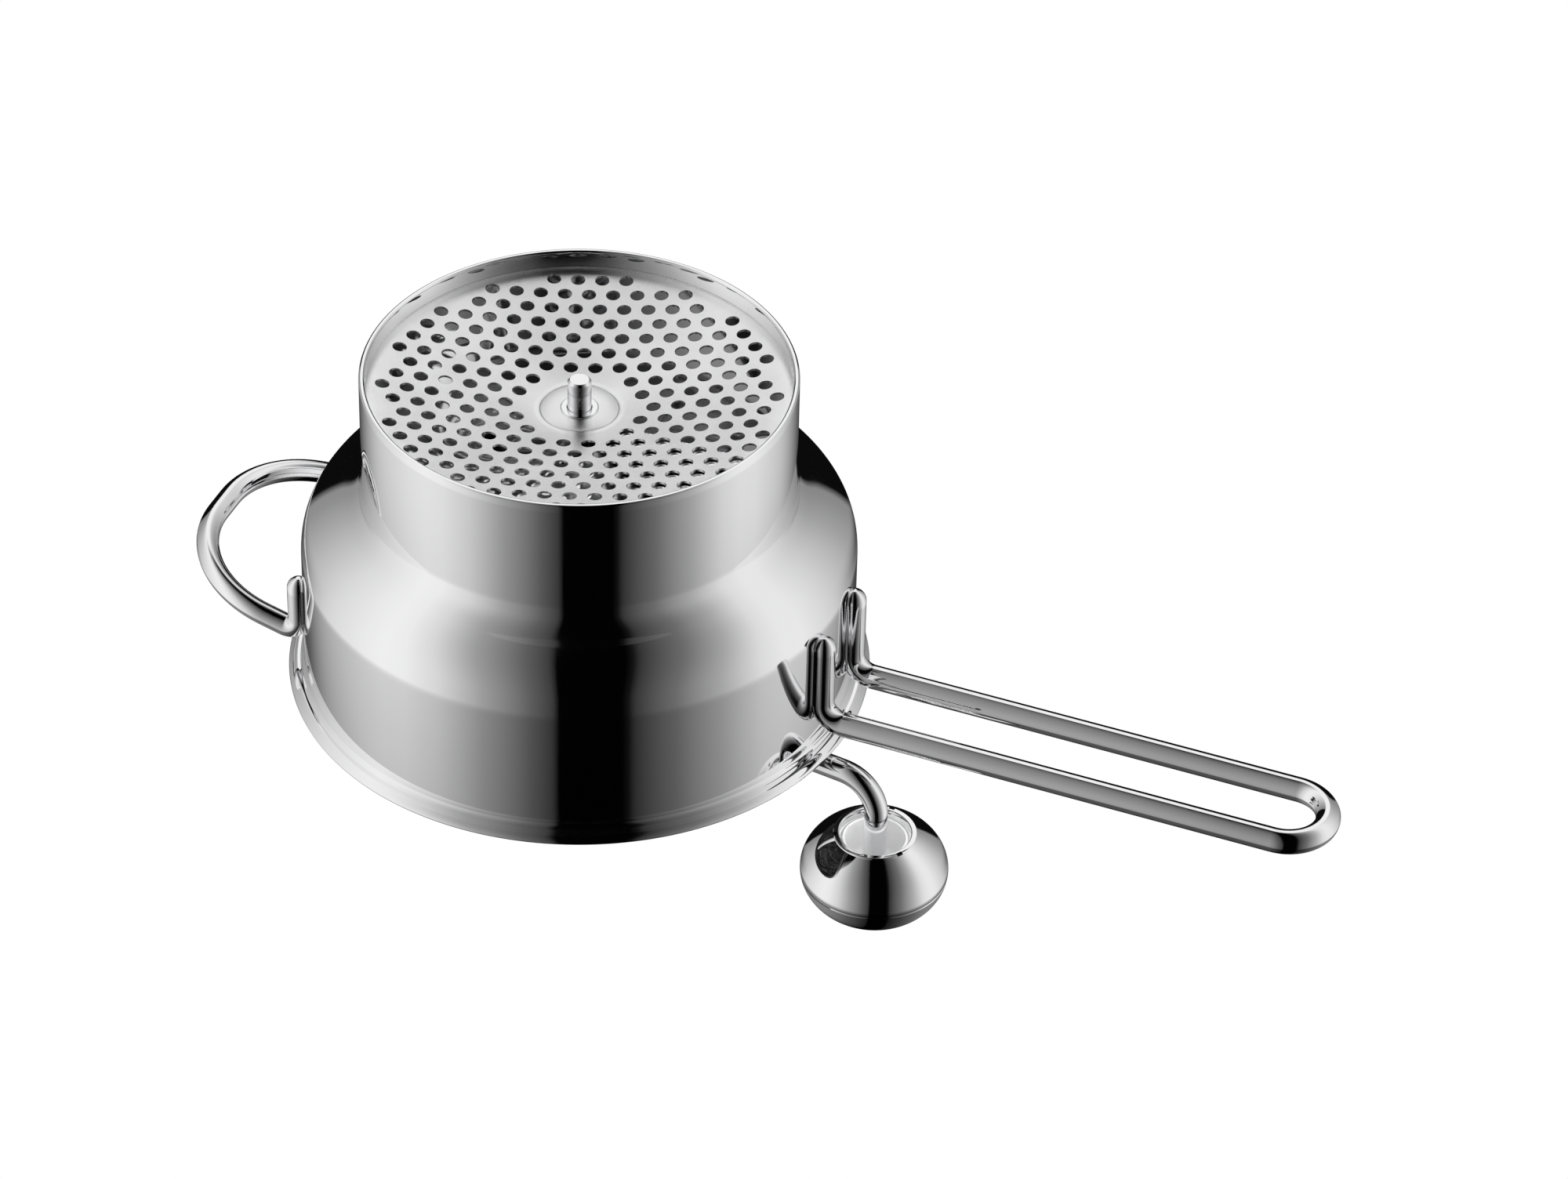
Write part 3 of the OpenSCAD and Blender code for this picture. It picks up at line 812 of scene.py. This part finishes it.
@dataclass
class Crank:
    """The bent crank rod with its collar, hub, pin and blade."""

    rod_r: float = 4 * MM
    bend_r: float = 13 * MM
    reach: float = 117.6 * MM
    arm_z: float = 126.5 * MM
    angle: float = 8.0
    tip: float = 0.8 * MM
    blade_t: float = 1.2 * MM
    blade_start: float = 10.0
    blade_sweep: float = 205.0
    blade_land: float = 24.0
    blade_lift: float = 22 * MM
    blade_clear: float = 0.5 * MM
    blade_out: float = 70.2 * MM
    blade_in: float = 8.0 * MM
    disc_top: float = 14.8 * MM
    disc_edge: float = 7.0 * MM
    cone_r: float = 69.5 * MM
    flat_r: float = 14.5 * MM

    def build_rod(self) -> None:
        """Builds and dresses the crank rod."""
        low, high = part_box("crank_rod")
        along = Vector((math.cos(math.radians(self.angle)), math.sin(math.radians(self.angle)), 0))
        mesh = bmesh.new()
        wire = Wire(mesh, self.rod_r - self.tip, Vector((0, 0, low.z)), UP.copy(), sides=48)
        wire.start(domed=False)
        bmesh.ops.edgeloop_fill(mesh, edges=wire.ring)
        wire.straight(self.tip)
        for vert in {v for e in wire.ring for v in e.verts}:
            vert.co.x *= self.rod_r / wire.radius
            vert.co.y *= self.rod_r / wire.radius
        wire.straight(self.arm_z - self.bend_r - low.z - self.tip, 6)
        wire.bend(self.bend_r, along, 90, 24)
        wire.straight(self.reach - 2 * self.bend_r, 3)
        wire.bend(self.bend_r, UP, 90, 24)
        wire.straight(high.z - self.arm_z - self.bend_r, 3)
        wire.finish(domed=False)
        make_piece("crank_rod_bent", mesh, WIRE_POLISH, Body.CRANK, ["crank_rod"], crease=30)

    def _under(self, radius: float) -> float:
        """The height of the blade's lowest edge over the disc at this radius."""
        slope = (self.disc_top - self.disc_edge) / (self.cone_r - self.flat_r)
        drop = max(0.0, min(radius, self.cone_r) - self.flat_r) * slope
        return self.disc_top - drop + self.blade_clear

    def _rise(self, degrees: float) -> float:
        """How far the blade has climbed after this much of its sweep."""
        t = max(0.0, (degrees - self.blade_land) / (self.blade_sweep - self.blade_land))
        return self.blade_lift * t * t * (2 - t)

    def build_blade(self) -> None:
        """Builds the blade by extruding a radial edge round its sweep, and gives it thickness."""
        mesh = bmesh.new()
        rows, steps = 24, 110
        start = math.radians(self.blade_start)
        radii = [self.blade_in + (self.blade_out - self.blade_in) * j / rows for j in range(rows + 1)]
        points = [mesh.verts.new((r * math.cos(start), r * math.sin(start), self._under(r)))
                  for r in radii]
        edges = [mesh.edges.new(pair) for pair in zip(points, points[1:])]
        turn = Matrix.Rotation(math.radians(self.blade_sweep / steps), 3, "Z")
        for i in range(1, steps + 1):
            climb = (self._rise(self.blade_sweep * i / steps)
                     - self._rise(self.blade_sweep * (i - 1) / steps))
            grown = bmesh.ops.extrude_edge_only(mesh, edges=edges)["geom"]
            verts = [g for g in grown if isinstance(g, bmesh.types.BMVert)]
            edges = [e for e in edges_of(grown, open_only=True) if all(v in verts for v in e.verts)]
            bmesh.ops.rotate(mesh, verts=verts, cent=(0, 0, 0), matrix=turn)
            bmesh.ops.translate(mesh, verts=verts, vec=(0, 0, climb))
        bmesh.ops.recalc_face_normals(mesh, faces=mesh.faces)
        if sum(f.normal.z for f in mesh.faces) < 0:
            bmesh.ops.reverse_faces(mesh, faces=mesh.faces)
        bmesh.ops.solidify(mesh, geom=mesh.faces, thickness=-self.blade_t)
        make_piece("press_blade_formed", mesh, MIRROR, Body.CRANK, ["press_blade"], crease=35)

    def build(self) -> None:
        """Builds the whole crank unit without its knob."""
        self.build_rod()
        self.build_blade()
        for node, finish, edge in (("blade_hub", MIRROR, 0.4), ("travel_collar", MIRROR, 0.4),
                                   ("hub_pin", SPRING, 0.2), ("collar_screw", SPRING, 0.1),
                                   ("knob_retainer", SPRING, 0.1)):
            crisp_copy(node, finish, Body.CRANK, edge * MM)


# ---- the crossbar


@dataclass
class Crossbar:
    """The channel bar across the mouth with its bushing, spring, seats and lugs."""

    spring_r: float = 8.9 * MM
    wire_r: float = 0.9 * MM
    turns: float = 6.5
    shaft_r: float = 4.08 * MM
    bushing_r: float = 6.5 * MM
    flange_r: float = 11 * MM
    bar_top: float = 94 * MM
    shaft_gap_r: float = 4.4 * MM
    seat_r: float = 10.5 * MM
    blade_travel: float = 5 * MM

    def build_spring(self) -> None:
        """Builds the pressure spring by spinning a ring of wire with a lead."""
        low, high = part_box("pressure_spring")
        steps = round(self.turns * 48)
        climb = high.z - low.z - 2 * self.wire_r
        mesh = bmesh.new()
        stand = Matrix.Rotation(math.radians(90), 4, "X")
        at = Matrix.Translation((self.spring_r, 0, low.z + self.wire_r))
        made = bmesh.ops.create_circle(mesh, cap_ends=False, segments=16, radius=self.wire_r * 0.98,
                                       matrix=at @ stand)
        ring = list({e for v in made["verts"] for e in v.link_edges})
        bmesh.ops.edgeloop_fill(mesh, edges=ring)
        spun = bmesh.ops.spin(mesh, geom=ring, cent=(0, 0, 0), axis=UP,
                              dvec=(0, 0, climb / steps), angle=math.radians(360 * self.turns),
                              steps=steps)
        bmesh.ops.edgeloop_fill(mesh, edges=edges_of(spun["geom_last"]))
        spring = make_piece("pressure_spring_coiled", mesh, SPRING, Body.BAR, ["pressure_spring"],
                            crease=40)
        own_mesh(spring)

    def _bushing_outline(self) -> list[Point]:
        """The section of the flanged bushing."""
        low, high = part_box("bar_bushing")
        edge = 0.4 * MM
        return [
            (self.shaft_r, low.z + edge), (self.shaft_r + edge, low.z), (self.bushing_r - edge, low.z),
            (self.bushing_r, low.z + edge), (self.bushing_r, self.bar_top),
            (self.flange_r - edge, self.bar_top), (self.flange_r, self.bar_top + edge),
            *arc(self.flange_r - 2 * edge, high.z - 2 * edge, 2 * edge, 0, 90, 5),
            (self.shaft_r + edge, high.z), (self.shaft_r, high.z - edge),
        ]

    def build(self) -> None:
        """Builds and dresses every piece of the bar, and the lugs that hold it."""
        self.build_spring()
        mesh = bmesh.new()
        lathe(mesh, self._bushing_outline(), TURNED_STEPS)
        make_piece("bar_bushing_turned", mesh, MIRROR, Body.BAR, ["bar_bushing"])
        for node, r_in, r_out, body, finish in (
                ("bushing_ring", self.bushing_r, self.bushing_r + 2.2 * MM, Body.BAR, SPRING),
                ("upper_spring_seat", self.bushing_r, self.seat_r, Body.BAR, MIRROR),
                ("thrust_washer", self.shaft_gap_r, self.seat_r, Body.LIFTER, MIRROR)):
            low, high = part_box(node)
            mesh = bmesh.new()
            lathe(mesh, chamfered(r_in, r_out, low.z, high.z), TURNED_STEPS)
            make_piece(node + "_turned", mesh, finish, body, [node])
        crisp_copy("crossbar", BRUSHED, Body.BAR, 0.4 * MM, 3)
        crisp_copy("bar_lugs", BRUSHED, Body.BOWL, 0.25 * MM)


# ---- the knob


@dataclass
class Knob:
    """The oval hollow knob with its seam, notched ring, a near-black seat under the notches as painted
    shade, and white insert.
    """

    radius: float = 25.4 * MM
    half_h: float = 18.4 * MM
    mid_z: float = 163.5 * MM
    seam_z: float = 165 * MM
    wall: float = 1.0 * MM
    ring_in: float = 11.4 * MM
    ring_out: float = 14.4 * MM
    notch: float = 2.2 * MM
    notch_depth: float = 1.2 * MM
    notch_at: float = 25.0
    rod_r: float = 4.08 * MM
    cup_wall: float = 1.0 * MM
    cup_depth: float = 13.0 * MM
    seam_gap: float = 0.5
    lip: float = 0.25 * MM
    ring_step: float = 1.4 * MM
    ring_top: float = 5 * MM
    crank: Crank = field(default_factory=Crank)

    @property
    def seam(self) -> float:
        """The seam's angle on the oval section, in degrees."""
        return math.degrees(math.asin((self.seam_z - self.mid_z) / self.half_h))

    @property
    def place(self) -> Point:
        """Where the knob's axis stands in X and Y."""
        a = math.radians(self.crank.angle)
        return self.crank.reach * math.cos(a), self.crank.reach * math.sin(a)

    def _face(self, radius: float) -> float:
        """The height of the knob's lower surface at this radius."""
        return self.mid_z - self.half_h * math.sqrt(1 - (radius / self.radius) ** 2)

    def _oval(self, inset: float, start: float, end: float, steps: int) -> list[Point]:
        """Points of the oval section between two angles, inset from the outside."""
        a, b = self.radius - inset, self.half_h - inset
        turns = [math.radians(start + (end - start) * i / steps) for i in range(steps + 1)]
        return [(a * math.cos(t), self.mid_z + b * math.sin(t)) for t in turns]

    def build_lower(self) -> None:
        """Builds the lower shell, from the ring's seat to the seam."""
        start = -math.degrees(math.acos(self.ring_out / self.radius))
        seam, gap = self.seam, self.seam_gap
        outer = self._oval(0, start, seam - 2 * gap, 40)
        lip = self._oval(self.lip, seam - gap, seam - gap / 3, 1)
        inner = self._oval(self.wall, seam - gap, start, 30)
        outline = [*outer, *lip, *inner[:-1], (self.ring_out, inner[-1][1])]
        mesh = bmesh.new()
        lathe(mesh, outline, FINE_STEPS, self.place)
        make_piece("knob_lower_pressed", mesh, MIRROR, Body.KNOB, ["knob_lower_shell"], crease=40)

    def build_upper(self) -> None:
        """Builds the upper shell, from the seam to the crown."""
        seam, gap = self.seam, self.seam_gap
        lip = self._oval(self.lip, seam + gap / 3, seam + gap, 1)
        outer = self._oval(0, seam + 2 * gap, 90, 40)
        inner = self._oval(self.wall, 90, seam + gap, 30)
        mesh = bmesh.new()
        lathe(mesh, [*lip, *outer, *inner], FINE_STEPS, self.place)
        make_piece("knob_upper_pressed", mesh, MIRROR, Body.KNOB, ["knob_upper_shell"], crease=40)

    def build_ring(self) -> None:
        """Builds the bright ring, its outer band broken by three notches, and a near-black seat under
        them that is painted shade for the shadow in the notches.
        """
        top = self._face(self.ring_out)
        step_z, top_z = top + self.ring_step, top + self.ring_top
        split = self.ring_out - self.notch_depth
        inner = [(self.ring_in, top_z), (self.ring_in, top + 1.6 * MM),
                 *arc(self.ring_in + 1.3 * MM, top - 0.1 * MM, 0.5 * MM, 200, 270, 5),
                 (split, top - 0.6 * MM), (split, top_z)]
        outer = [(split, top - 0.6 * MM),
                 *arc(self.ring_out - 0.4 * MM, top - 0.2 * MM, 0.4 * MM, 270, 360, 5),
                 (self.ring_out, step_z), (split, step_z)]
        # The seat's outline under the notches; it is drawn near-black as painted shade.
        back = [(split, step_z), (self.ring_out, step_z), (self.ring_out, top_z), (split, top_z)]
        mesh = bmesh.new()
        lathe(mesh, inner, FINE_STEPS, self.place)
        half = math.degrees(self.notch / 2 / self.ring_out)
        for third in range(3):
            start = self.crank.angle + self.notch_at + 120 * third + half
            lathe(mesh, outer, FINE_STEPS // 3, self.place, start, 120 - 2 * half)
        make_piece("knob_ring_notched", mesh, MIRROR, Body.KNOB, ["knob_ring"], crease=35)
        # The seat behind the notches is near-black painted shade: it darkens them the way shadow would.
        mesh = bmesh.new()
        lathe(mesh, back, FINE_STEPS, self.place)
        make_piece("knob_ring_painted_shade_seat", mesh, SHADOW, Body.KNOB, ["knob_ring"], crease=35)

    def build_insert(self) -> None:
        """Builds the white insert, a deep cup round the rod."""
        low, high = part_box("knob_insert")
        edge = 0.3 * MM
        cup_r = self.ring_in - self.cup_wall
        floor = low.z + self.cup_depth
        outside = self.ring_in - 0.02 * MM
        outline = [
            (self.rod_r, high.z), (self.rod_r, floor),
            *arc(cup_r - 1.5 * MM, floor - 1.5 * MM, 1.5 * MM, 90, 0, 6),
            (cup_r, low.z + edge), (cup_r + edge, low.z), (outside - edge, low.z),
            (outside, low.z + edge), (outside, high.z),
        ]
        mesh = bmesh.new()
        lathe(mesh, outline, TURNED_STEPS, self.place)
        make_piece("knob_insert_moulded", mesh, WHITE, Body.KNOB, ["knob_insert"])

    def build(self) -> None:
        """Builds and dresses the whole knob."""
        self.build_lower()
        self.build_upper()
        self.build_ring()
        self.build_insert()


# ---- studio and camera


@dataclass
class Studio:
    """A photographer's light tent, the pale floor and the camera.

    The tent is described in the upturned frame that the mill is shown in: X to the camera's right,
    Y away from it and Z up, with the mill's neck up and its long handle turned to the front.
    Its panels are pairs of degrees round the mill, from the front to the right, and display level.
    A wall that faces that way shows that level to a viewer in front of the tent's slot.
    """

    handle_turn: float = 23.4
    distance: float = 2.0
    elevation: float = 35.85
    lens: float = 7664 * 36 / 2000
    pan: float = 0.0340
    tilt: float = -0.0359
    panels: tuple[Point, ...] = (
        (-180, 14), (-93.5, 10), (-92, 139), (-88, 142), (-80, 165), (-70, 192), (-60, 217),
        (-50, 233), (-44, 238), (-38, 234), (-30, 212), (-20, 155), (-10, 93), (-5.6, 60), (-4.6, 2),
        (9.6, 2), (10.8, 48), (20, 108), (30, 166), (40, 220), (46, 232), (52, 232), (60, 216),
        (70, 190), (80, 160), (88, 140), (92, 134), (93.5, 10), (180, 14))
    under_share: float = 0.26
    fill_light: float = 2.3
    flag_density: float = 0.75
    flag_level: float = 26
    flag_r: float = 97.5 * MM
    flag_z: float = 121.9 * MM
    slot_flare: float = 0.2
    ceiling_level: float = 240
    ceiling_from: float = 78
    ceiling_to: float = 81.5
    lamp_strength: float = 1.08
    floor_tint: float = 0.42
    floor_size: float = 6.0
    floor_drop: float = 0.05 * MM

    def _upturned(self) -> Matrix:
        """The turn from the upturned frame to the mill's own frame."""
        flip = Matrix.Rotation(math.pi, 3, "X")
        return Matrix.Rotation(-math.radians(self.handle_turn), 3, "Z") @ flip

    def place_camera(self) -> None:
        """Puts the camera below the standing mill, upside down, so that it shows the neck up."""
        lift = math.radians(self.elevation)
        place = Vector((0, -math.cos(lift), math.sin(lift))) * self.distance
        ahead = -place.normalized()
        right = Vector((1, 0, 0))
        up = right.cross(ahead)
        ahead, right = (ahead * math.cos(self.pan) + right * math.sin(self.pan),
                        right * math.cos(self.pan) - ahead * math.sin(self.pan))
        ahead, up = (ahead * math.cos(self.tilt) + up * math.sin(self.tilt),
                     up * math.cos(self.tilt) - ahead * math.sin(self.tilt))
        turn = self._upturned()
        axes = Matrix((turn @ right, turn @ up, turn @ -ahead)).transposed()
        data = bpy.data.cameras.new("camera")
        data.lens = self.lens
        data.sensor_width = 36
        data.sensor_fit = "HORIZONTAL"
        data.clip_end = 50
        camera = bpy.data.objects.new("camera", data)
        bpy.context.scene.collection.objects.link(camera)
        camera.matrix_world = Matrix.Translation(turn @ place) @ axes.to_4x4()
        bpy.context.scene.camera = camera

    def light_tent(self) -> None:
        """Makes the tent as light by direction: two side panels, a front slot, a dark back."""
        world = bpy.data.worlds.new("light_tent")
        world.use_nodes = True
        world.cycles.sampling_method = "NONE"
        bpy.context.scene.world = world
        graph = Graph(world.node_tree)
        place = graph.node("ShaderNodeTexCoord").outputs["Generated"]
        back = self._upturned().transposed().to_euler("XYZ")
        turn = graph.node("ShaderNodeMapping", {"Rotation": back, "Vector": place},
                          vector_type="POINT")
        lift = math.radians(self.elevation)
        viewer = (0, -math.cos(lift), math.sin(lift))
        halfway = graph.node("ShaderNodeVectorMath", {0: turn.outputs[0], 1: viewer},
                             operation="ADD")
        unit = graph.node("ShaderNodeVectorMath", {0: halfway.outputs[0]}, operation="NORMALIZE")
        split = graph.node("ShaderNodeSeparateXYZ", {0: unit.outputs[0]})
        x, y, z = split.outputs
        around = graph.math("ARCTAN2", x, graph.math("MULTIPLY", y, -1.0))
        narrow = graph.smooth(z, 0.2, 0.95, 1.0, 1 - self.slot_flare)
        near = graph.smooth(graph.math("ABSOLUTE", around), 0.3, 0.9, 1.0, 0.0)
        around = graph.math("MULTIPLY", around, graph.math("POWER", narrow, near))
        share = graph.math("ADD", graph.math("DIVIDE", around, 2 * math.pi), 0.5)
        panels = graph.ramp(share, [((degrees + 180) / 360, level) for degrees, level in self.panels])
        below = graph.smooth(z, -0.11, 0.02, self.under_share, 1.0)
        under = graph.math("MULTIPLY", below, graph.smooth(z, -0.85, -0.40, 0.4, 1.0))
        turned = graph.smooth(graph.math("ABSOLUTE", around), 1.1, 1.55)
        upright = graph.smooth(z, 0.15, 0.5, 0.8, 0.0)
        edge = graph.math("MULTIPLY_ADD", graph.math("MULTIPLY", turned, upright), -1.0, 1.0)
        under = graph.math("MULTIPLY", under, edge)
        lit = graph.mix(under, BLACK, panels)
        ceiling = graph.smooth(z, *[math.sin(math.radians(a))
                                    for a in (self.ceiling_from, self.ceiling_to)])
        tent = graph.mix(ceiling, lit, grey(self.ceiling_level))
        lamp, backdrop, fill = [
            graph.node("ShaderNodeBackground", {"Color": colour, "Strength": strength})
            for colour, strength in ((tent, self.lamp_strength), (WHITE_LIGHT, 1.0),
                                     (WHITE_LIGHT, self.fill_light))]
        ray = graph.node("ShaderNodeLightPath").outputs
        seen = graph.blend(ray["Is Camera Ray"], lamp, backdrop)
        graph.end(graph.blend(ray["Is Diffuse Ray"], seen, fill), "World")

    def floor(self) -> None:
        """Lays a pale floor under the neck that shows only from above."""
        mesh = bmesh.new()
        bmesh.ops.create_grid(mesh, x_segments=8, y_segments=8, size=self.floor_size)
        bmesh.ops.translate(mesh, verts=mesh.verts, vec=(0, 0, -self.floor_drop))
        material, graph = new_material("pale_floor")
        matte = graph.node("ShaderNodeBsdfDiffuse", {"Color": (*[self.floor_tint] * 3, 1)})
        clear = graph.node("ShaderNodeBsdfTransparent")
        back = graph.node("ShaderNodeNewGeometry").outputs["Backfacing"]
        graph.end(graph.blend(back, matte, clear))
        floor = new_object("floor", mesh)
        floor.data.materials.append(material)
        for ray in ("glossy", "diffuse", "transmission", "shadow"):
            setattr(floor, f"visible_{ray}", False)

    def mouth_flag(self) -> None:
        """Hangs a half-clear dark flag, which no camera sees, across the mouth to dim the inside."""
        mesh = bmesh.new()
        bmesh.ops.create_circle(mesh, cap_ends=True, segments=96, radius=self.flag_r)
        bmesh.ops.translate(mesh, verts=mesh.verts, vec=(0, 0, self.flag_z))
        material, graph = new_material("dark_flag")
        dark = graph.node("ShaderNodeEmission", {"Color": grey(self.flag_level)})
        clear = graph.node("ShaderNodeBsdfTransparent")
        graph.end(graph.blend(self.flag_density, clear, dark))
        flag = new_object("mouth_flag", mesh)
        flag.data.materials.append(material)
        flag.visible_camera = False
        flag.visible_shadow = False

    def build(self) -> None:
        """Sets up the camera, the tent, the mouth's flag and the floor."""
        bpy.context.scene.view_settings.view_transform = "Standard"
        bpy.context.scene.view_settings.look = "None"
        self.place_camera()
        self.light_tent()
        self.mouth_flag()
        self.floor()


def main() -> None:
    """Builds every sub-assembly in order, then the studio."""
    logging.basicConfig(level=logging.INFO, format="%(message)s")
    Studio().build()
    Bowl().build()
    Disc().build()
    handles = Handles()
    handles.build_long()
    handles.build_helper()
    Crossbar().build()
    Crank().build()
    Knob().build()


if __name__ == "__main__":
    main()
